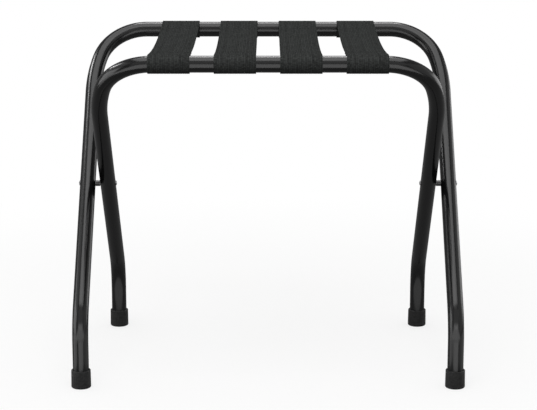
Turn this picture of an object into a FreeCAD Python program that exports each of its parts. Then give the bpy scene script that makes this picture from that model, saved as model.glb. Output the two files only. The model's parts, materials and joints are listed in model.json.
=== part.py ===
"""Folding luggage rack: two bent tube frames cross at riveted pivots, and webbing straps join their top bars.

Millimetres. X runs along the top bars, Y runs from the front to the back, and Z runs up from the floor.
The inner frame has the front top bar and the back feet. The outer frame has the back top bar and the front feet.
"""
import FreeCAD, Part
import math
import os

from FreeCAD import Vector

# Tube stock
TUBE_OD = 22.0
TUBE_WALL = 1.2

# Bends, on the tube's centreline
TOP_BEND_RADIUS = 70.0  # from a top bar most of the way round to a leg
EASE_BEND_RADIUS = 230.0  # the rest of the way, easing into the leg
EASE_ANGLE = 15.0  # degrees of the easing bend
KNEE_BEND_RADIUS = 78.0

# Stance of the open rack, between tube centrelines
FRAME_WIDTH = 512.0  # outer frame, leg to leg
LEG_GAP = 6.6  # clear gap between an outer leg and an inner leg
BAR_SPREAD = 363.0  # front bar to back bar
BAR_HEIGHT = 450.0
FOOT_SPREAD = 302.0  # front feet to back feet
KNEE_HEIGHT = 90.0  # where the line of the leaning leg meets the line of the upright shin

# Rubber foot caps
CAP_HEIGHT = 25.0
CAP_FLOOR = 4.0
CAP_TOP_WALL = 2.25
CAP_BOTTOM_WALL = 2.55
CAP_TOP_ROUND = 1.2
CAP_BOTTOM_ROUND = 2.0
CAP_CLEARANCE = 0.05  # radial, over the tube

# Pivot rivets and the sleeves between the legs
RIVET_SHANK = 5.0
RIVET_HEAD = 8.0
RIVET_HEAD_HEIGHT = 1.6
RIVET_PLAY = 0.2  # inner head to inner leg
RUNNING_CLEARANCE = 0.05  # radial, round the rivet
SPACER_OD = 8.4
SPACER_PLAY = 0.15  # each end, to its leg

# Webbing straps
STRAP_COUNT = 4
STRAP_WIDTH = 55.0
STRAP_THICKNESS = 1.2
STRAP_OVERHANG = 5.15  # how far the outer straps reach past the start of the inner bar's bends
STRAP_CLEARANCE = 0.25  # loop to bar, where a loop reaches furthest over a bend
STRAP_SAG = 8.5  # middle of the band below the tops of its loops
LOOP_NECK = 26.0  # from the loop's inner end to the seam
LOOP_BEND = 12.0  # radius where the tail turns in under the band
LAP_LENGTH = 26.0
LAP_GAP = 0.2  # between the band and its sewn tail

# Worked out from the sizes above
TUBE_RADIUS = TUBE_OD / 2
OUTER_HALF = FRAME_WIDTH / 2
INNER_HALF = OUTER_HALF - TUBE_OD - LEG_GAP
BAR_Y = BAR_SPREAD / 2
FOOT_Y = FOOT_SPREAD / 2
PIVOT_HEIGHT = KNEE_HEIGHT + (BAR_HEIGHT - KNEE_HEIGHT) * FOOT_Y / (FOOT_Y + BAR_Y)
RIVET_BORE = RIVET_SHANK / 2 + RUNNING_CLEARANCE
EASE_TURN = math.radians(EASE_ANGLE)
TOP_BEND_REACH = TOP_BEND_RADIUS * math.tan(math.pi / 4 - EASE_TURN / 2)
CORNER_CUT = TOP_BEND_REACH + EASE_BEND_RADIUS * math.tan(EASE_TURN / 2)
BAR_CUT = CORNER_CUT * math.sin(EASE_TURN)
LEG_CUT = CORNER_CUT * math.cos(EASE_TURN)
BEND_START = INNER_HALF - BAR_CUT - TOP_BEND_REACH  # from the middle of the inner bar
BEND_DROP = TOP_BEND_RADIUS - math.sqrt(TOP_BEND_RADIUS**2 - STRAP_OVERHANG**2)
LOOP_INNER = TUBE_RADIUS + BEND_DROP + STRAP_CLEARANCE
LOOP_MID = LOOP_INNER + STRAP_THICKNESS / 2
LOOP_OUTER = LOOP_INNER + STRAP_THICKNESS
STRAP_PITCH = (2 * (BEND_START + STRAP_OVERHANG) - STRAP_WIDTH) / (STRAP_COUNT - 1)

SIDES = {"left": -1, "right": 1}


def bent_path(points, radii):
    """A wire through the points, with every corner rounded to its own radius."""
    edges = []
    start = points[0]
    for before, corner, after, radius in zip(points, points[1:], points[2:], radii):
        back = (before - corner).normalize()
        ahead = (after - corner).normalize()
        half_angle = back.getAngle(ahead) / 2
        setback = radius / math.tan(half_angle)
        arc_start = corner + back * setback
        arc_end = corner + ahead * setback
        to_arc = radius / math.sin(half_angle) - radius
        arc_middle = corner + (back + ahead).normalize() * to_arc
        if start.distanceToPoint(arc_start) > 0.001:
            edges.append(Part.LineSegment(start, arc_start).toShape())
        edges.append(Part.Arc(arc_start, arc_middle, arc_end).toShape())
        start = arc_end
    edges.append(Part.LineSegment(start, points[-1]).toShape())
    return Part.Wire(edges)


def frame_tube(half_width, bar_y, foot_y):
    """One bent frame: up from a foot, along the top bar, down to the other foot, with holes for the rivets."""
    foot = Vector(-half_width, foot_y, CAP_FLOOR)
    knee = Vector(-half_width, foot_y, KNEE_HEIGHT)
    corner = Vector(-half_width, bar_y, BAR_HEIGHT)
    leg_end = corner + (knee - corner).normalize() * LEG_CUT
    bar_end = corner + Vector(BAR_CUT, 0, 0)
    left = [foot, knee, leg_end, bar_end]
    right = [Vector(-point.x, point.y, point.z) for point in reversed(left)]
    left_radii = [KNEE_BEND_RADIUS, EASE_BEND_RADIUS, TOP_BEND_RADIUS]
    path = bent_path(left + right, left_radii + left_radii[::-1])
    outside = Part.Face(Part.Wire(Part.makeCircle(TUBE_RADIUS, foot)))
    inside = Part.Face(Part.Wire(Part.makeCircle(TUBE_RADIUS - TUBE_WALL, foot)))
    tube = path.makePipe(outside.cut(inside).Faces[0])
    for side in SIDES.values():
        hole_start = Vector(side * half_width - TUBE_OD, 0, PIVOT_HEIGHT)
        tube = tube.cut(Part.makeCylinder(RIVET_BORE, 2 * TUBE_OD, hole_start, Vector(1, 0, 0)))
    return tube.Solids[0]


def foot_cap(x, y):
    """A slightly tapered cup with a rounded lip and foot."""
    bore = TUBE_RADIUS + CAP_CLEARANCE
    cup = Part.makeCone(bore + CAP_BOTTOM_WALL, bore + CAP_TOP_WALL, CAP_HEIGHT)
    bottom_rim = min((e for e in cup.Edges if e.Closed), key=lambda e: e.CenterOfMass.z)
    cup = cup.makeFillet(min(CAP_BOTTOM_ROUND, 0.9 * CAP_BOTTOM_WALL), [bottom_rim])
    top_rim = max((e for e in cup.Edges if e.Closed), key=lambda e: e.CenterOfMass.z)
    cup = cup.makeFillet(min(CAP_TOP_ROUND, 0.8 * CAP_TOP_WALL), [top_rim])
    cup = cup.cut(Part.makeCylinder(bore, CAP_HEIGHT, Vector(0, 0, CAP_FLOOR)))
    cup.translate(Vector(x, y, 0))
    return cup.Solids[0]


def pivot_rivet(side):
    """A rivet through an outer and an inner leg, with a low dome at each end, turned about the X axis."""
    inner_end = INNER_HALF - TUBE_RADIUS - RIVET_PLAY
    outer_end = OUTER_HALF + TUBE_RADIUS
    ball = ((RIVET_HEAD / 2) ** 2 + RIVET_HEAD_HEIGHT**2) / (2 * RIVET_HEAD_HEIGHT)
    half_arc = math.asin(RIVET_HEAD / 2 / ball) / 2
    crown_fall = ball * (1 - math.cos(half_arc))
    crown_reach = ball * math.sin(half_arc)
    inner_tip = Vector(inner_end - RIVET_HEAD_HEIGHT, 0, 0)
    inner_rim = Vector(inner_end, RIVET_HEAD / 2, 0)
    inner_neck = Vector(inner_end, RIVET_SHANK / 2, 0)
    outer_neck = Vector(outer_end, RIVET_SHANK / 2, 0)
    outer_rim = Vector(outer_end, RIVET_HEAD / 2, 0)
    outer_tip = Vector(outer_end + RIVET_HEAD_HEIGHT, 0, 0)
    outline = [
        Part.Arc(inner_tip, inner_tip + Vector(crown_fall, crown_reach, 0), inner_rim),
        Part.LineSegment(inner_rim, inner_neck),
        Part.LineSegment(inner_neck, outer_neck),
        Part.LineSegment(outer_neck, outer_rim),
        Part.Arc(outer_rim, outer_tip + Vector(-crown_fall, crown_reach, 0), outer_tip),
        Part.LineSegment(outer_tip, inner_tip),
    ]
    half_section = Part.Face(Part.Wire([curve.toShape() for curve in outline]))
    return on_side(half_section.revolve(Vector(), Vector(1, 0, 0), 360), side)


def pivot_spacer(side):
    """The sleeve that keeps the two legs apart on the rivet."""
    start = INNER_HALF + TUBE_RADIUS + SPACER_PLAY
    length = LEG_GAP - 2 * SPACER_PLAY
    sleeve = Part.makeCylinder(SPACER_OD / 2, length, Vector(start, 0, 0), Vector(1, 0, 0))
    bore = Part.makeCylinder(RIVET_BORE, length, Vector(start, 0, 0), Vector(1, 0, 0))
    return on_side(sleeve.cut(bore), side)


def on_side(shape, side):
    """Lift a shape made on the X axis to the pivot, on the right (1) or the left (-1)."""
    if side < 0:
        shape = shape.mirror(Vector(), Vector(1, 0, 0))
    shape.translate(Vector(0, 0, PIVOT_HEIGHT))
    return shape.Solids[0]


def polar(centre, radius, angle):
    """A point on a circle, in the strap's side view: inward from the bar's centre, and up."""
    return (centre[0] + radius * math.cos(angle), centre[1] + radius * math.sin(angle))


def strap_line():
    """Half a strap's centreline in side view, as arcs (centre, radius, start angle, end angle).

    It runs from the crease out along the band, round the bar, and back in under the band as the sewn tail. The
    straight tail joins the end of the second arc to the start of the third.
    """
    bar = (0.0, 0.0)
    to_sag_centre = (BAR_Y**2 + STRAP_SAG**2) / (2 * STRAP_SAG)
    sag_centre = (BAR_Y, to_sag_centre - STRAP_SAG)
    band_radius = to_sag_centre - LOOP_MID
    lap_radius = band_radius + STRAP_THICKNESS + LAP_GAP
    wrap_start = math.atan2(sag_centre[1], sag_centre[0])
    seam_start = LOOP_MID + LOOP_NECK
    seam_angle = math.asin((BAR_Y - seam_start) / lap_radius)
    seam_end_angle = math.asin((BAR_Y - seam_start - LAP_LENGTH) / lap_radius)
    straight_down = -math.pi / 2
    turn_centre = polar(sag_centre, lap_radius + LOOP_BEND, straight_down - seam_angle)
    tail_angle = math.atan2(turn_centre[1], turn_centre[0])
    tail_angle += math.asin((LOOP_MID + LOOP_BEND) / math.hypot(*turn_centre))
    return [
        (sag_centre, band_radius, straight_down, wrap_start - math.pi),
        (bar, LOOP_MID, wrap_start, tail_angle + 1.5 * math.pi),
        (turn_centre, LOOP_BEND, tail_angle + 0.5 * math.pi, 0.5 * math.pi - seam_angle),
        (sag_centre, lap_radius, straight_down - seam_angle, straight_down - seam_end_angle),
    ]


def strap_half(x, bar_y):
    """Half a strap with its sewn loop, from the bar to the crease halfway between the bars."""
    inward = -math.copysign(1, bar_y)

    def place(point):
        return Vector(x - STRAP_WIDTH / 2, bar_y + inward * point[0], BAR_HEIGHT + point[1])

    def face_edges(offset):
        """One face of the band in side view: the centreline's arcs moved to the left by the offset."""
        edges = []
        last = None
        for centre, radius, start, end in strap_line():
            turn = 1 if end > start else -1
            moved = radius - turn * offset
            first, middle, final = (place(polar(centre, moved, a)) for a in (start, (start + end) / 2, end))
            if last and last.distanceToPoint(first) > 0.001:
                edges.append(Part.LineSegment(last, first).toShape())
            edges.append(Part.Arc(first, middle, final).toShape())
            last = final
        return edges

    left = face_edges(STRAP_THICKNESS / 2)
    right = face_edges(-STRAP_THICKNESS / 2)
    caps = []
    for end in (0, -1):
        a, b = left[end].Vertexes[end].Point, right[end].Vertexes[end].Point
        caps.append(Part.LineSegment(a, b).toShape())
    outline = Part.Wire(Part.__sortEdges__(left + right + caps))
    return Part.Face(outline).extrude(Vector(STRAP_WIDTH, 0, 0))


def rack():
    """Every piece by name."""
    pieces = {
        "inner_frame_tube": frame_tube(INNER_HALF, -BAR_Y, FOOT_Y),
        "outer_frame_tube": frame_tube(OUTER_HALF, BAR_Y, -FOOT_Y),
    }
    for name, side in SIDES.items():
        pieces[f"{name}_back_foot_cap"] = foot_cap(side * INNER_HALF, FOOT_Y)
        pieces[f"{name}_front_foot_cap"] = foot_cap(side * OUTER_HALF, -FOOT_Y)
        pieces[f"{name}_pivot_rivet"] = pivot_rivet(side)
        pieces[f"{name}_pivot_spacer"] = pivot_spacer(side)
    for index in range(STRAP_COUNT):
        x = (index - (STRAP_COUNT - 1) / 2) * STRAP_PITCH
        pieces[f"strap_{index + 1}_front_half"] = strap_half(x, -BAR_Y)
        pieces[f"strap_{index + 1}_back_half"] = strap_half(x, BAR_Y)
    return pieces


def main():
    os.makedirs("parts", exist_ok=True)
    for name, shape in rack().items():
        shape.exportStep(f"parts/{name}.step")


if __name__ == "__main__":
    main()
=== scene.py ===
"""Looks of a folding luggage rack, in metres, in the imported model's frame.

X runs along the top bars, Y from the front to the back, and Z up from the floor. The bent tubes, the ribbed
webbing and its seams are modelled here. The foot caps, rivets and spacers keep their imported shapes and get
their finishes.
"""
import json
import math

import bpy
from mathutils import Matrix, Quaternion, Vector

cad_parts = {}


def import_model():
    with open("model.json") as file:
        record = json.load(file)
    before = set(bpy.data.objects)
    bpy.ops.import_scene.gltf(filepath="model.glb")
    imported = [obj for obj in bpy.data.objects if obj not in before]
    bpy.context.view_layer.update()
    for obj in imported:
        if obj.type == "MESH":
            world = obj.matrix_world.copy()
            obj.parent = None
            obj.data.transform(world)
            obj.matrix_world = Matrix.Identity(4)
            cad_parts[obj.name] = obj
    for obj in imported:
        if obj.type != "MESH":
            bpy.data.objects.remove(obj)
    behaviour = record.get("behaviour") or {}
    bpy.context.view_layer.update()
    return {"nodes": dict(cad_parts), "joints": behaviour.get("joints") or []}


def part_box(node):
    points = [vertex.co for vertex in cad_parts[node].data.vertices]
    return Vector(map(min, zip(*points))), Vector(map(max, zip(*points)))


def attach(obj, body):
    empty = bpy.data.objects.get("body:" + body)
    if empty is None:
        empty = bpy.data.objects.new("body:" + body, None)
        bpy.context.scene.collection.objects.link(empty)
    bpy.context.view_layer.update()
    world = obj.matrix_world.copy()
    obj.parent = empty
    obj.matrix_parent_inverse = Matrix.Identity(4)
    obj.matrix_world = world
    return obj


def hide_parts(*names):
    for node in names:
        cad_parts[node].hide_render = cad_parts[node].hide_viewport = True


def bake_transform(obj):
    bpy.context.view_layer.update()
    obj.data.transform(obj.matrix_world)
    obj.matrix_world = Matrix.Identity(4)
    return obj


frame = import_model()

QUARTER_TURN = math.pi / 2

# Signs of Y
FRONT = -1
BACK = 1

# Tube stock
TUBE_RADIUS = 0.011
KNEE_HEIGHT = 0.090
TOP_BEND_RADIUS = 0.070  # from a top bar most of the way round to a leg
EASE_BEND_RADIUS = 0.230  # the rest of the way, easing into the leg
EASE_TURN = math.radians(15)
KNEE_BEND_RADIUS = 0.078
TUBE_SIDES = 56
BEND_STEPS = 64
RING_SPACING = 0.003

# A straight cuts each top corner, just long enough for the two bends at its ends to meet
CORNER_CUT = (
    TOP_BEND_RADIUS * math.tan(math.pi / 4 - EASE_TURN / 2)
    + EASE_BEND_RADIUS * math.tan(EASE_TURN / 2)
)

# Webbing, with ribs that run along it and a rounded selvedge on each side
STRAP_THICKNESS = 0.0012
STRAP_SAG = 0.0085
LOOP_NECK = 0.026
LOOP_BEND = 0.012
LAP_LENGTH = 0.026
LAP_GAP = 0.0002
RIB_COUNT = 23
RIB_DEPTH = 0.00022
RIB_STEPS = 6
SELVEDGE_STEPS = 4
SELVEDGE_TURN = 0.001  # radians, past which a point of the section is on a selvedge
WEFT_PITCH = 0.0015

# Rows along half a strap: the crease, the band, the wrap round the bar, the turn of the tail, and the lap
CREASE_ROWS = 9
BAND_ROWS = 28
WRAP_ROWS = 30
TURN_ROWS = 6
LAP_ROWS = 6
CREASE_ROWS_REACH = 1.3  # how far the crease's rows run, times the reach of the crease

# Seam thread
STITCH_LENGTH = 0.0026
STITCH_PITCH = 0.0032
STITCH_SIDES = 8
STITCH_RINGS = 6
THREAD_DIAMETER = 0.00042
SEAM_INSET = 0.004
SEAM_ROWS = (0.2, 0.8)  # across the lap, as shares of its length

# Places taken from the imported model
STRAP_COUNT = 4
joints = {joint["name"]: joint for joint in frame["joints"]}
front_low, front_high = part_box("strap_1_front_half")
tube_low, tube_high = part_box("inner_frame_tube")
BAR_Y = -tube_low.y - TUBE_RADIUS
BAR_HEIGHT = tube_high.z - TUBE_RADIUS
STRAP_WIDTH = front_high.x - front_low.x
LOOP_RADIUS = front_high.z - BAR_HEIGHT - STRAP_THICKNESS / 2
BAND_MIDDLE = BAR_HEIGHT + LOOP_RADIUS - STRAP_SAG
FOLD_RADIUS = joints["strap_crease"]["pos_m"][2] - BAND_MIDDLE
CREASE_REACH = FOLD_RADIUS * QUARTER_TURN


def node(tree, kind, inputs=(), **settings):
    """Add a node, make its settings, and fill its inputs with values or with links from other sockets."""
    made = tree.nodes.new(kind)
    for name, value in settings.items():
        setattr(made, name, value)
    for name, value in dict(inputs).items():
        socket = made.inputs[name]
        if isinstance(value, bpy.types.NodeSocket):
            tree.links.new(value, socket)
        else:
            socket.default_value = value
    return made


def calc(tree, operation, *values):
    """The result of a sum on numbers or sockets."""
    return node(tree, "ShaderNodeMath", dict(enumerate(values)), operation=operation).outputs[0]


# Geometry node groups

FLOAT = "NodeSocketFloat"
WHOLE = "NodeSocketInt"


def new_group(name, sizes):
    """A node group that takes a geometry, the named sizes and a finish, with its inputs and its result."""
    tree = bpy.data.node_groups.new(name, "GeometryNodeTree")
    tree.interface.new_socket("Geometry", in_out="INPUT", socket_type="NodeSocketGeometry")
    for label, kind in sizes.items():
        tree.interface.new_socket(label, in_out="INPUT", socket_type=kind)
    tree.interface.new_socket("Finish", in_out="INPUT", socket_type="NodeSocketMaterial")
    tree.interface.new_socket("Geometry", in_out="OUTPUT", socket_type="NodeSocketGeometry")
    given = tree.nodes.new("NodeGroupInput").outputs
    result = tree.nodes.new("NodeGroupOutput").inputs["Geometry"]
    return tree, given, result


def close_group(tree, geometry, given, result):
    """Smooth the shading, make instances real and set the finish."""
    smooth = node(tree, "GeometryNodeSetShadeSmooth", {"Geometry": geometry})
    real = node(tree, "GeometryNodeRealizeInstances", {"Geometry": smooth.outputs[0]})
    finished = node(
        tree,
        "GeometryNodeSetMaterial",
        {"Geometry": real.outputs[0], "Material": given["Finish"]},
    )
    tree.links.new(finished.outputs[0], result)
    return tree


def bent_tube_group():
    """Round each corner of a chain of edges to its own bend radius and sweep a ring along it."""
    sizes = {"Tube Radius": FLOAT, "Ring Spacing": FLOAT, "Sides": WHOLE, "Bend Steps": WHOLE}
    tree, given, result = new_group("bent_tube", sizes)
    line = node(tree, "GeometryNodeMeshToCurve", {"Mesh": given["Geometry"]})
    bend_radius = node(tree, "GeometryNodeInputNamedAttribute", {"Name": "bend_radius"}, data_type="FLOAT")
    bent = node(
        tree,
        "GeometryNodeFilletCurve",
        {"Curve": line.outputs[0], "Count": given["Bend Steps"], "Radius": bend_radius.outputs[0]},
        mode="POLY",
    )
    even = node(
        tree,
        "GeometryNodeResampleCurve",
        {"Curve": bent.outputs[0], "Length": given["Ring Spacing"]},
        mode="LENGTH",
    )
    ring = node(
        tree,
        "GeometryNodeCurvePrimitiveCircle",
        {"Resolution": given["Sides"], "Radius": given["Tube Radius"]},
    )
    wall = node(
        tree,
        "GeometryNodeCurveToMesh",
        {"Curve": even.outputs[0], "Profile Curve": ring.outputs[0], "Fill Caps": True},
    )
    return close_group(tree, wall.outputs[0], given, result)


def webbing_group():
    """Sweep a ribbed section with rounded selvedges along a chain of edges, and map it flat in metres."""
    sizes = {
        "Width": FLOAT,
        "Thickness": FLOAT,
        "Rib Count": FLOAT,
        "Rib Depth": FLOAT,
        "Flat Share": FLOAT,
        "Section Points": WHOLE,
    }
    tree, given, result = new_group("ribbed_webbing", sizes)

    # The section goes once round: over one face from the left selvedge to the right one, and back over
    # the other face
    round_it = node(tree, "GeometryNodeSplineParameter").outputs["Factor"]
    from_right = calc(tree, "SUBTRACT", round_it, 0.5)
    face = calc(tree, "SIGN", from_right)
    sweep = calc(tree, "SUBTRACT", 1.0, calc(tree, "MULTIPLY", 4.0, calc(tree, "ABSOLUTE", from_right)))
    reach = calc(tree, "ABSOLUTE", sweep)
    flat_reach = calc(tree, "MINIMUM", calc(tree, "DIVIDE", reach, given["Flat Share"]), 1.0)
    past_flat = calc(tree, "MAXIMUM", calc(tree, "SUBTRACT", reach, given["Flat Share"]), 0.0)
    edge_share = calc(tree, "SUBTRACT", 1.0, given["Flat Share"])
    turn = calc(tree, "MULTIPLY", calc(tree, "DIVIDE", past_flat, edge_share), QUARTER_TURN)
    half_thickness = calc(tree, "DIVIDE", given["Thickness"], 2.0)
    flat_width = calc(tree, "SUBTRACT", given["Width"], given["Thickness"])
    flat_part = calc(tree, "MULTIPLY", flat_reach, calc(tree, "DIVIDE", flat_width, 2.0))
    round_part = calc(tree, "MULTIPLY", half_thickness, calc(tree, "SINE", turn))
    across = calc(tree, "MULTIPLY", calc(tree, "SIGN", sweep), calc(tree, "ADD", flat_part, round_part))

    # A rib's crest is at each whole number of ribs from the flat's left edge, and a groove halfway on
    rib_place = calc(tree, "ADD", calc(tree, "DIVIDE", across, flat_width), 0.5)
    rib_turn = calc(tree, "MULTIPLY", calc(tree, "MULTIPLY", rib_place, given["Rib Count"]), 2 * math.pi)
    groove = calc(tree, "SUBTRACT", 0.5, calc(tree, "MULTIPLY", 0.5, calc(tree, "COSINE", rib_turn)))
    sunk = calc(tree, "MULTIPLY", groove, given["Rib Depth"])
    on_flat = calc(tree, "LESS_THAN", turn, SELVEDGE_TURN)
    edge_height = calc(tree, "MULTIPLY", half_thickness, calc(tree, "COSINE", turn))
    height = calc(tree, "SUBTRACT", edge_height, calc(tree, "MULTIPLY", sunk, on_flat))
    place = node(tree, "ShaderNodeCombineXYZ", {"X": across, "Y": calc(tree, "MULTIPLY", face, height)})

    ring = node(
        tree,
        "GeometryNodeCurvePrimitiveCircle",
        {"Resolution": given["Section Points"], "Radius": 1.0},
    )
    section = node(
        tree,
        "GeometryNodeSetPosition",
        {"Geometry": ring.outputs[0], "Position": place.outputs[0]},
    )
    section_place = node(tree, "GeometryNodeInputPosition")
    section_x = node(tree, "ShaderNodeSeparateXYZ", {0: section_place.outputs[0]})
    kept_across = node(
        tree,
        "GeometryNodeCaptureAttribute",
        {"Geometry": section.outputs[0]},
        domain="POINT",
    )
    kept_across.capture_items.new("FLOAT", "Across")
    tree.links.new(section_x.outputs["X"], kept_across.inputs["Across"])

    line = node(tree, "GeometryNodeMeshToCurve", {"Mesh": given["Geometry"]})
    steady = node(
        tree,
        "GeometryNodeSetCurveNormal",
        {"Curve": line.outputs[0], "Normal": (1, 0, 0)},
        mode="FREE",
    )
    run = node(tree, "GeometryNodeSplineParameter").outputs["Length"]
    kept_along = node(
        tree,
        "GeometryNodeCaptureAttribute",
        {"Geometry": steady.outputs[0]},
        domain="POINT",
    )
    kept_along.capture_items.new("FLOAT", "Along")
    tree.links.new(run, kept_along.inputs["Along"])

    band = node(
        tree,
        "GeometryNodeCurveToMesh",
        {
            "Curve": kept_along.outputs["Geometry"],
            "Profile Curve": kept_across.outputs["Geometry"],
            "Fill Caps": True,
        },
    )
    laid_out = node(
        tree,
        "ShaderNodeCombineXYZ",
        {"X": kept_across.outputs["Across"], "Y": kept_along.outputs["Along"]},
    )
    mapped = node(
        tree,
        "GeometryNodeStoreNamedAttribute",
        {"Geometry": band.outputs[0], "Name": "UVMap", "Value": laid_out.outputs[0]},
        data_type="FLOAT2",
        domain="CORNER",
    )
    return close_group(tree, mapped.outputs[0], given, result)


def stitch_group():
    """Lay short stitches end to end along loose edges."""
    sizes = {"Stitch Length": FLOAT, "Stitch Pitch": FLOAT, "Thread Diameter": FLOAT}
    tree, given, result = new_group("seam_stitches", sizes)
    line = node(tree, "GeometryNodeMeshToCurve", {"Mesh": given["Geometry"]})
    marks = node(
        tree,
        "GeometryNodeResampleCurve",
        {"Curve": line.outputs[0], "Length": given["Stitch Pitch"]},
        mode="LENGTH",
    )
    bead = node(
        tree,
        "GeometryNodeMeshUVSphere",
        {"Segments": STITCH_SIDES, "Rings": STITCH_RINGS, "Radius": 0.5},
    )
    stitch_size = node(
        tree,
        "ShaderNodeCombineXYZ",
        {"X": given["Stitch Length"], "Y": given["Thread Diameter"], "Z": given["Thread Diameter"]},
    )
    stitch = node(
        tree,
        "GeometryNodeTransform",
        {"Geometry": bead.outputs["Mesh"], "Scale": stitch_size.outputs[0]},
    )
    tangent = node(tree, "GeometryNodeInputTangent")
    turned = node(tree, "FunctionNodeAlignRotationToVector", {"Vector": tangent.outputs[0]}, axis="X")
    row = node(
        tree,
        "GeometryNodeInstanceOnPoints",
        {"Points": marks.outputs[0], "Instance": stitch.outputs[0], "Rotation": turned.outputs[0]},
    )
    return close_group(tree, row.outputs[0], given, result)


def grow(name, points, edges, tree, values, bend_radii=()):
    """A mesh that a node group grows from a chain of edges, as a plain object at the origin."""
    chain = bpy.data.meshes.new(name)
    chain.from_pydata(points, edges, [])
    if bend_radii:
        chain.attributes.new("bend_radius", "FLOAT", "POINT").data.foreach_set("value", bend_radii)
    piece = bpy.data.objects.new(name, chain)
    bpy.context.scene.collection.objects.link(piece)
    modifier = piece.modifiers.new("grow", "NODES")
    modifier.node_group = tree
    for item in tree.interface.items_tree:
        if item.in_out == "INPUT" and item.name in values:
            modifier[item.identifier] = values[item.name]
    depsgraph = bpy.context.evaluated_depsgraph_get()
    grown = bpy.data.meshes.new_from_object(
        piece.evaluated_get(depsgraph), preserve_all_data_layers=True, depsgraph=depsgraph
    )
    if grown.materials[0] is None:
        grown.materials.pop(index=0)  # a sphere made by a node brings an empty slot
    piece.modifiers.clear()
    piece.data = grown
    bpy.data.meshes.remove(chain)
    return piece


def chain_edges(points):
    """Edges that join each point to the next one."""
    return [(i, i + 1) for i in range(len(points) - 1)]


# Finishes

NOISE_BAND = (0.3, 0.7)  # where nearly all of a noise's values lie

# The weave's tone, as a share of the way from its dark colour to its light one
RIB_TONE = (0.42, 0.58)  # each rib has its own
YARN_TONE = 0.12  # up or down, with uneven yarn along a rib
PICK_TONE = 0.25  # up or down, for each pick
# Painted shade: the colour darkens at the edges of each pick, in the grooves between yarns, and lightens
# towards its crown
PAINTED_GROOVE_SHADE = (-0.35, 0.25)  # from the edges of a pick to its crown
PICK_STAGGER = 0.5  # of a pick, from each rib to the next
YARN_STREAKS = (700, 24, 1)  # per metre across a strap and along it

STEEL_SCRATCHES = (1200, 3000, 9000)  # per metre


def new_finish(name, roughness, **constants):
    """A material with its constant sockets set. Returns it with its tree and its shader."""
    material = bpy.data.materials.new(name)
    material.use_nodes = True
    tree = material.node_tree
    shader = tree.nodes["Principled BSDF"]
    shader.inputs["Roughness"].default_value = roughness
    for label, value in constants.items():
        shader.inputs[label.replace("_", " ")].default_value = value
    return material, tree, shader


def object_place(tree):
    """Places in the object's own space, in metres."""
    return node(tree, "ShaderNodeTexCoord").outputs["Object"]


def object_noise(tree, scale, detail=2.0, roughness=0.5):
    """Noise in the object's own space, with a scale in bumps per metre."""
    return node(
        tree,
        "ShaderNodeTexNoise",
        {"Vector": object_place(tree), "Scale": scale, "Detail": detail, "Roughness": roughness},
    ).outputs["Fac"]


def stretched_noise(tree, place, scales, detail):
    """Noise over a place, with its own scale along each axis."""
    stretched = node(tree, "ShaderNodeMapping", {"Vector": place, "Scale": scales})
    return node(
        tree,
        "ShaderNodeTexNoise",
        {"Vector": stretched.outputs[0], "Scale": 1.0, "Detail": detail},
    ).outputs["Fac"]


def spread(tree, value, low, high):
    """Noise stretched from its usual middle band to a range."""
    noise_low, noise_high = NOISE_BAND
    return node(
        tree,
        "ShaderNodeMapRange",
        {"Value": value, "From Min": noise_low, "From Max": noise_high, "To Min": low, "To Max": high},
    ).outputs["Result"]


def tint(tree, share, dark, light):
    """A colour between two, by a share."""
    mixed = node(tree, "ShaderNodeMix", {"Factor": share}, data_type="RGBA")
    mixed.inputs["A"].default_value = (*dark, 1)
    mixed.inputs["B"].default_value = (*light, 1)
    return mixed.outputs["Result"]


def cover(tree, shader, colour, roughness):
    """Give the shader a colour and a roughness that vary over the surface."""
    tree.links.new(colour, shader.inputs["Base Color"])
    tree.links.new(roughness, shader.inputs["Roughness"])


def bump(tree, shader, height, depth, layers=("Normal",)):
    """Raise the surface, or the layers named, by a height from 0 to 1, times a depth in metres."""
    raised = node(tree, "ShaderNodeBump", {"Height": height, "Distance": depth, "Strength": 1.0})
    for layer in layers:
        tree.links.new(raised.outputs[0], shader.inputs[layer])


def powder_coat():
    """Black paint under a thin satin skin with a faint orange peel."""
    material, tree, shader = new_finish(
        "powder_coat", roughness=0.6, Specular_IOR_Level=0.0, Coat_Weight=0.2, Coat_Roughness=0.19
    )
    haze = object_noise(tree, scale=45, detail=3)
    peel = object_noise(tree, scale=1400)
    colour = tint(tree, haze, dark=(0.003, 0.003, 0.0032), light=(0.005, 0.005, 0.0052))
    cover(tree, shader, colour, spread(tree, haze, low=0.5, high=0.7))
    bump(tree, shader, peel, depth=0.0000003, layers=("Normal", "Coat Normal"))
    return material


def crown(tree, place):
    """A rounded height across each whole step of a place: 0 at its edges and 1 in its middle."""
    step = calc(tree, "FRACT", place)
    rise = calc(tree, "MULTIPLY", step, 4.0)
    return calc(tree, "SQRT", calc(tree, "MULTIPLY", rise, calc(tree, "SUBTRACT", 1.0, step)))


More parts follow.
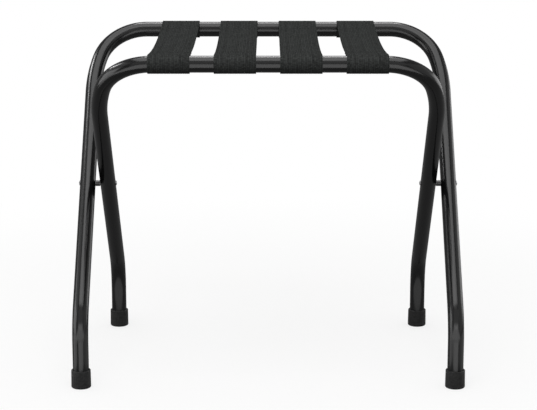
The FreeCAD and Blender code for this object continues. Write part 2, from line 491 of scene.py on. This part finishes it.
def webbing():
    """Charcoal webbing: warp ribs crossed by weft picks, uneven yarn along the ribs, and painted shade in
    the grooves between picks.
    """
    material, tree, shader = new_finish("webbing", roughness=0.85, Specular_IOR_Level=0.0)
    laid = node(tree, "ShaderNodeUVMap", uv_map="UVMap").outputs[0]
    parts = node(tree, "ShaderNodeSeparateXYZ", {0: laid})

    # Each whole step of the rib place runs from groove to groove, and of the pick place over one pick
    ribs_per_metre = RIB_COUNT / (STRAP_WIDTH - STRAP_THICKNESS)
    rib_place = calc(tree, "MULTIPLY_ADD", parts.outputs["X"], ribs_per_metre, RIB_COUNT / 2 + 0.5)
    rib = calc(tree, "FLOOR", rib_place)
    picks_along = calc(tree, "DIVIDE", parts.outputs["Y"], WEFT_PITCH)
    pick_place = calc(tree, "MULTIPLY_ADD", rib, PICK_STAGGER, picks_along)
    pick = calc(tree, "FLOOR", pick_place)
    height = calc(tree, "MULTIPLY", crown(tree, rib_place), crown(tree, pick_place))

    rib_tone = node(tree, "ShaderNodeTexWhiteNoise", {"W": rib}, noise_dimensions="1D").outputs["Value"]
    crossing = node(tree, "ShaderNodeCombineXYZ", {"X": rib, "Y": pick}).outputs[0]
    pick_tone = node(
        tree,
        "ShaderNodeTexWhiteNoise",
        {"Vector": crossing},
        noise_dimensions="2D",
    ).outputs["Value"]
    streak = stretched_noise(tree, laid, YARN_STREAKS, detail=1.0)
    rib_share = calc(tree, "MULTIPLY_ADD", rib_tone, RIB_TONE[1] - RIB_TONE[0], RIB_TONE[0])
    streaked = calc(tree, "ADD", rib_share, spread(tree, streak, low=-YARN_TONE, high=YARN_TONE))
    darkest_pick = calc(tree, "SUBTRACT", streaked, PICK_TONE)
    woven = calc(tree, "MULTIPLY_ADD", pick_tone, 2 * PICK_TONE, darkest_pick)
    # Painted shade in the grooves: darker at a pick's edges, rising with its height to its crown
    with_painted_groove_shade = calc(tree, "ADD", woven, PAINTED_GROOVE_SHADE[0])
    share = calc(tree, "MULTIPLY_ADD", height, PAINTED_GROOVE_SHADE[1] - PAINTED_GROOVE_SHADE[0], with_painted_groove_shade)
    colour = tint(tree, share, dark=(0.016, 0.0168, 0.0164), light=(0.058, 0.061, 0.0595))
    cover(tree, shader, colour, spread(tree, pick_tone, low=0.78, high=0.95))
    bump(tree, shader, height, depth=0.00012)
    return material


def seam_thread():
    """Black sewing thread."""
    material, tree, shader = new_finish("seam_thread", roughness=0.7, Specular_IOR_Level=0.02)
    fibre = object_noise(tree, scale=6000)
    colour = tint(tree, fibre, dark=(0.016, 0.017, 0.017), light=(0.03, 0.032, 0.031))
    cover(tree, shader, colour, spread(tree, fibre, low=0.6, high=0.85))
    bump(tree, shader, fibre, depth=0.00005)
    return material


def foot_rubber():
    """Matte moulded rubber with a fine grain."""
    material, tree, shader = new_finish("foot_rubber", roughness=0.75, Specular_IOR_Level=0.06)
    grain = object_noise(tree, scale=2600, detail=3)
    bloom = object_noise(tree, scale=280, detail=4, roughness=0.6)
    share = spread(tree, bloom, low=0, high=1)
    colour = tint(tree, share, dark=(0.003, 0.003, 0.003), light=(0.0195, 0.0195, 0.0195))
    cover(tree, shader, colour, spread(tree, bloom, low=0.62, high=0.85))
    bump(tree, shader, grain, depth=0.00005)
    return material


def rivet_steel():
    """Dark finished steel with fine scratches."""
    material, tree, shader = new_finish("rivet_steel", roughness=0.35, Metallic=1.0)
    scratch = stretched_noise(tree, object_place(tree), STEEL_SCRATCHES, detail=3.0)
    colour = tint(tree, scratch, dark=(0.035, 0.035, 0.036), light=(0.08, 0.08, 0.082))
    cover(tree, shader, colour, spread(tree, scratch, low=0.28, high=0.45))
    bump(tree, shader, scratch, depth=0.000004)
    return material


def spacer_nylon():
    """Black moulded sleeve."""
    material, tree, shader = new_finish("spacer_nylon", roughness=0.4, Specular_IOR_Level=0.15)
    flow = object_noise(tree, scale=700, detail=3)
    colour = tint(tree, flow, dark=(0.004, 0.004, 0.004), light=(0.009, 0.009, 0.009))
    cover(tree, shader, colour, spread(tree, flow, low=0.33, high=0.47))
    bump(tree, shader, flow, depth=0.00002)
    return material


# Tubes

def frame_tube(name, node_name, body, bar_side, tree, finish):
    """One bent frame over its packed tube, with its top bar at the front or at the back."""
    low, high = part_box(node_name)
    half_width = high.x - TUBE_RADIUS
    ends = {FRONT: low.y + TUBE_RADIUS, BACK: high.y - TUBE_RADIUS}
    bar_y = ends[bar_side]
    foot_y = ends[-bar_side]
    foot = Vector((-half_width, foot_y, low.z))
    knee = Vector((-half_width, foot_y, KNEE_HEIGHT))
    corner = Vector((-half_width, bar_y, BAR_HEIGHT))
    leg_end = corner + (knee - corner).normalized() * CORNER_CUT * math.cos(EASE_TURN)
    bar_end = corner + Vector((CORNER_CUT * math.sin(EASE_TURN), 0, 0))
    left = [foot, knee, leg_end, bar_end]
    right = [Vector((-point.x, point.y, point.z)) for point in reversed(left)]
    points = left + right
    left_radii = [0.0, KNEE_BEND_RADIUS, EASE_BEND_RADIUS, TOP_BEND_RADIUS]
    values = {
        "Tube Radius": TUBE_RADIUS,
        "Ring Spacing": RING_SPACING,
        "Sides": TUBE_SIDES,
        "Bend Steps": BEND_STEPS,
        "Finish": finish,
    }
    tube = grow(name, points, chain_edges(points), tree, values, left_radii + left_radii[::-1])
    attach(tube, body)
    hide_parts(node_name)


# Straps

def polar(centre, radius, angle):
    """A point on a circle, in the strap's side view: inward from the bar's centre, and up."""
    return (centre[0] + radius * math.cos(angle), centre[1] + radius * math.sin(angle))


def strap_arcs():
    """Half a strap's centreline in side view, as arcs (centre, radius, start angle, end angle).

    It runs from the crease out along the band, round the bar, and back in under the band as the sewn tail.
    The straight tail joins the end of the second arc to the start of the third.
    """
    bar = (0.0, 0.0)
    to_sag_centre = (BAR_Y**2 + STRAP_SAG**2) / (2 * STRAP_SAG)
    sag_centre = (BAR_Y, to_sag_centre - STRAP_SAG)
    band_radius = to_sag_centre - LOOP_RADIUS
    lap_radius = band_radius + STRAP_THICKNESS + LAP_GAP
    wrap_start = math.atan2(sag_centre[1], sag_centre[0])
    seam_start = LOOP_RADIUS + LOOP_NECK
    seam_angle = math.asin((BAR_Y - seam_start) / lap_radius)
    seam_end_angle = math.asin((BAR_Y - seam_start - LAP_LENGTH) / lap_radius)
    straight_down = -QUARTER_TURN
    turn_centre = polar(sag_centre, lap_radius + LOOP_BEND, straight_down - seam_angle)
    tail_angle = math.atan2(turn_centre[1], turn_centre[0])
    tail_angle += math.asin((LOOP_RADIUS + LOOP_BEND) / math.hypot(*turn_centre))
    return {
        "band": (sag_centre, band_radius, straight_down, wrap_start - math.pi),
        "wrap": (bar, LOOP_RADIUS, wrap_start, tail_angle + 3 * QUARTER_TURN),
        "turn": (turn_centre, LOOP_BEND, tail_angle + QUARTER_TURN, QUARTER_TURN - seam_angle),
        "lap": (sag_centre, lap_radius, straight_down - seam_angle, straight_down - seam_end_angle),
    }


def arc_points(arc, rows):
    """Points along an arc, without its first one."""
    centre, radius, start, end = arc
    return [polar(centre, radius, start + (end - start) * row / rows) for row in range(1, rows + 1)]


def half_strap_points():
    """Side view points from just past the crease to the end of the tail."""
    arcs = strap_arcs()
    centre, radius, start, end = arcs["band"]
    crease_end = start - CREASE_ROWS_REACH * CREASE_REACH / radius
    points = arc_points((centre, radius, start, crease_end), CREASE_ROWS)
    points += arc_points((centre, radius, crease_end, end), BAND_ROWS)
    points += arc_points(arcs["wrap"], WRAP_ROWS)
    points.append(polar(*arcs["turn"][:3]))
    points += arc_points(arcs["turn"], TURN_ROWS)
    points += arc_points(arcs["lap"], LAP_ROWS)
    return points


def strap_points(x):
    """A whole strap's centreline, from the front tail over both bars to the back tail."""
    half = half_strap_points()
    front = [(x, inward - BAR_Y, BAR_HEIGHT + up) for inward, up in reversed(half)]
    crease = [(x, 0.0, BAND_MIDDLE)]
    back = [(x, BAR_Y - inward, BAR_HEIGHT + up) for inward, up in half]
    return front + crease + back


def strap(index, tree, finish):
    """One strap, with a crease between the bars."""
    front = f"strap_{index}_front_half"
    back = f"strap_{index}_back_half"
    low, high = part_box(front)
    points = strap_points((low.x + high.x) / 2)
    quarter_points = RIB_COUNT * RIB_STEPS / 2 + SELVEDGE_STEPS
    values = {
        "Width": STRAP_WIDTH,
        "Thickness": STRAP_THICKNESS,
        "Rib Count": RIB_COUNT,
        "Rib Depth": RIB_DEPTH,
        "Flat Share": 1 - SELVEDGE_STEPS / quarter_points,
        "Section Points": round(4 * quarter_points),
        "Finish": finish,
    }
    piece = grow(f"strap_{index}", points, chain_edges(points), tree, values)
    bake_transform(piece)
    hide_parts(front, back)


def seam_stitches(end, side, tree, finish):
    """Stitches at one end of the straps: rows across each lap, on top of the band and under the tail."""
    arcs = strap_arcs()
    sag_centre, band_radius = arcs["band"][:2]
    lap_radius, lap_start, lap_end = arcs["lap"][1:]
    faces = (band_radius - STRAP_THICKNESS / 2, lap_radius + STRAP_THICKNESS / 2)
    points = []
    for index in range(1, STRAP_COUNT + 1):
        low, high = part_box(f"strap_{index}_{end}_half")
        for row in SEAM_ROWS:
            for radius in faces:
                inward, up = polar(sag_centre, radius, lap_start + (lap_end - lap_start) * row)
                y = side * (BAR_Y - inward)
                z = BAR_HEIGHT + up
                points.append((low.x + SEAM_INSET, y, z))
                points.append((high.x - SEAM_INSET, y, z))
    edges = [(i, i + 1) for i in range(0, len(points), 2)]
    values = {
        "Stitch Length": STITCH_LENGTH,
        "Stitch Pitch": STITCH_PITCH,
        "Thread Diameter": THREAD_DIAMETER,
        "Finish": finish,
    }
    stitches = grow(f"strap_{end}_stitches", points, edges, tree, values)
    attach(stitches, f"strap_{end}s")


# Floor, light and camera

IMAGE_WIDTH = 537
SENSOR_WIDTH = 36.0
FOCAL_PIXELS = 1834.5
PRINCIPAL_X = 268.13
CAMERA_PLACE = (0.0, -2.5495, 0.7941)
CAMERA_PITCH = math.radians(12.6565)

FLOOR_RADIUS = 9.0
FLOOR_SIDES = 96
FLOOR_LIFT = 0.75  # share of the floor's white that needs no light
FLOOR_FADE = (0.55, 1.1)  # from the lit floor near the rack to plain white

FILL_LIGHT = 0.75  # from all round
FULL_BEAM = 180  # degrees
SHIN_BEAM = 150  # degrees

# Place, aim, size and radiance of each lamp, and a roll in degrees where it is slanted
KEY_LAMP = ((-0.15, -0.98, 2.2), (0, 0, 0.3), (1.4, 1.0), 3.05)
STUDIO_CARDS = {
    "overhead_card": ((0.08, -0.17, 2.2), (0.08, -0.17, 0), (2.3, 2.24), 9.8),
    "back_card": ((0, 1.215, 2.04), (0, 0.18, 0.45), (1.0, 0.65), 38.0),
    "front_card": ((0, -2.4, 1.9), (0, 0, 0.45), (4.4, 1.7), 2.1),
    "low_card": ((-0.05, -1.45, 0.375), (-0.05, -1.06, 1.186), (2.2, 1.7), 7.6),
    "left_card": ((-1.5, -0.27, 0.42), (-0.25, 0, 0.3), (1.2, 0.8), 10.2),
    "left_low_card": ((-1.2, -0.5, 0.02), (-1.2, -0.5, 1), (0.6, 0.9), 5.4),
    "left_wall": ((-1.6, -0.1, 1.25), (-0.25, 0, 0.4), (1.8, 1.2), 2.7),
    "left_strip": ((-1.7, 0.46, 1.68), (-0.25, 0.1, 0.42), (0.5, 0.45), 25.0),
    "left_back_strip": ((-1.514, 0.775, 1.383), (-0.26, 0.15, 0.42), (0.56, 0.163), 58.0, 40),
    "right_card": ((1.5, -0.2, 0.75), (0.25, 0, 0.3), (2.2, 1.4), 1.7),
    "right_strip": ((1.6, 0.95, 0.42), (0, 0.2, 0.35), (1.4, 0.75), 7.0),
}
SHIN_CARDS = {
    "front_left_shin_card": ((-0.237, -0.23, 0.03), (-0.237, 0, 0.03), (0.102, 0.055), 5.2),
    "left_knee_card": ((-0.237, -0.23, 0.115), (-0.237, 0, 0.115), (0.102, 0.02), 5.2),
    "front_right_shin_card": ((0.246, -0.23, 0.03), (0.246, 0, 0.03), (0.108, 0.055), 5.2),
    "right_knee_card": ((0.246, -0.23, 0.115), (0.246, 0, 0.115), (0.108, 0.02), 5.2),
    "left_shin_card": ((-0.34, -0.1935, 0.035), (0, -0.1935, 0.035), (0.109, 0.067), 4.4),
    "right_shin_card": ((0.15, -0.205, 0.035), (0.3, -0.205, 0.035), (0.14, 0.067), 3.4),
    "inner_shin_card": ((-0.16, -0.169, 0.036), (-0.3, -0.169, 0.036), (0.162, 0.07), 1.3),
    "outer_shin_card": ((0.34, -0.169, 0.036), (0.2, -0.169, 0.036), (0.162, 0.07), 1.3),
}
BACK_SHIN_CARD = ((-0.17, 0.065, 0.03), (-0.17, 0.3, 0.03), (1.2, 0.055), 3.1)


def camera():
    """The photograph's view."""
    lens = bpy.data.cameras.new("photo_view")
    lens.sensor_width = SENSOR_WIDTH
    lens.lens = FOCAL_PIXELS / IMAGE_WIDTH * SENSOR_WIDTH
    lens.shift_x = (IMAGE_WIDTH / 2 - PRINCIPAL_X) / IMAGE_WIDTH
    holder = bpy.data.objects.new("photo_view", lens)
    holder.location = CAMERA_PLACE
    holder.rotation_euler = (QUARTER_TURN - CAMERA_PITCH, 0, 0)
    bpy.context.scene.collection.objects.link(holder)
    bpy.context.scene.camera = holder


def seen_directly(tree):
    """1 for the rays that show the background: from the camera, off a gloss or through glass."""
    path = node(tree, "ShaderNodeLightPath").outputs
    shown = calc(tree, "MAXIMUM", path["Is Camera Ray"], path["Is Glossy Ray"])
    return calc(tree, "MAXIMUM", shown, path["Is Transmission Ray"])


def floor_finish():
    """White floor that keeps the shadow near the rack and fades to the plain white background."""
    material = bpy.data.materials.new("pale_floor")
    material.use_nodes = True
    tree = material.node_tree
    tree.nodes.clear()
    from_middle = node(tree, "ShaderNodeVectorMath", {0: object_place(tree)}, operation="LENGTH")
    fade_start, fade_end = FLOOR_FADE
    fade = node(
        tree,
        "ShaderNodeMapRange",
        {"Value": from_middle.outputs["Value"], "From Min": fade_start, "From Max": fade_end},
        interpolation_type="SMOOTHSTEP",
    ).outputs["Result"]
    shown = seen_directly(tree)
    paint = 1 - FLOOR_LIFT
    lit = node(tree, "ShaderNodeBsdfDiffuse", {"Color": (paint, paint, paint, 1)})
    lifted = node(tree, "ShaderNodeEmission", {"Strength": calc(tree, "MULTIPLY", shown, FLOOR_LIFT)})
    near = node(tree, "ShaderNodeAddShader", {0: lit.outputs[0], 1: lifted.outputs[0]})
    white = node(tree, "ShaderNodeEmission", {"Strength": 1.0})
    mixed = node(
        tree,
        "ShaderNodeMixShader",
        {0: calc(tree, "MULTIPLY", shown, fade), 1: near.outputs[0], 2: white.outputs[0]},
    )
    node(tree, "ShaderNodeOutputMaterial", {"Surface": mixed.outputs[0]})
    return material


def floor():
    """A wide disc under the rack."""
    bpy.ops.mesh.primitive_circle_add(vertices=FLOOR_SIDES, radius=FLOOR_RADIUS, fill_type="NGON")
    disc = bpy.context.object
    disc.name = "floor"
    disc.data.materials.append(floor_finish())


def world():
    """White where it is seen or mirrored, and a soft even fill elsewhere."""
    sky = bpy.data.worlds.new("studio")
    sky.use_nodes = True
    tree = sky.node_tree
    strength = node(
        tree,
        "ShaderNodeMapRange",
        {"Value": seen_directly(tree), "To Min": FILL_LIGHT, "To Max": 1.0},
    )
    tree.links.new(strength.outputs["Result"], tree.nodes["Background"].inputs["Strength"])
    tree.nodes["Background"].inputs["Color"].default_value = (1, 1, 1, 1)
    bpy.context.scene.world = sky


def softbox(name, place, aim, size, radiance, roll=0, beam=FULL_BEAM, lights_cloth=False):
    """A lamp panel with an even brightness. One that doesn't light cloth is only mirrored in the gloss."""
    lamp = bpy.data.lights.new(name, "AREA")
    lamp.shape = "RECTANGLE"
    lamp.size = size[0]
    lamp.size_y = size[1]
    lamp.energy = radiance * math.pi * size[0] * size[1]
    lamp.spread = math.radians(beam)
    panel = bpy.data.objects.new(name, lamp)
    panel.location = place
    facing = (Vector(aim) - Vector(place)).to_track_quat("-Z", "Y")
    panel.rotation_euler = (facing @ Quaternion((0, 0, 1), math.radians(roll))).to_euler()
    panel.visible_diffuse = lights_cloth
    panel.visible_camera = False
    bpy.context.scene.collection.objects.link(panel)


def lights():
    """A key lamp, cards round the studio, and small cards close to the shins."""
    softbox("key", *KEY_LAMP, lights_cloth=True)
    for name, card in STUDIO_CARDS.items():
        softbox(name, *card)
    for name, card in SHIN_CARDS.items():
        softbox(name, *card, beam=SHIN_BEAM)
    softbox("back_shin_card", *BACK_SHIN_CARD)


def build():
    """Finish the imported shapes, model the tubes, straps and seams over them, and set the stage."""
    coat = powder_coat()
    cloth = webbing()
    thread = seam_thread()
    finishes = {
        "foot_cap": foot_rubber(),
        "pivot_rivet": rivet_steel(),
        "pivot_spacer": spacer_nylon(),
    }
    for name, shape in frame["nodes"].items():
        for ending, finish in finishes.items():
            if name.endswith(ending):
                shape.material_slots[0].material = finish

    tube_tree = bent_tube_group()
    frame_tube("inner_frame_bent_tube", "inner_frame_tube", "inner_frame", FRONT, tube_tree, coat)
    frame_tube("outer_frame_bent_tube", "outer_frame_tube", "outer_frame", BACK, tube_tree, coat)

    strap_tree = webbing_group()
    for index in range(1, STRAP_COUNT + 1):
        strap(index, strap_tree, cloth)
    seam_tree = stitch_group()
    seam_stitches("front", FRONT, seam_tree, thread)
    seam_stitches("back", BACK, seam_tree, thread)

    camera()
    floor()
    world()
    lights()
    bpy.context.scene.view_settings.view_transform = "Standard"


build()
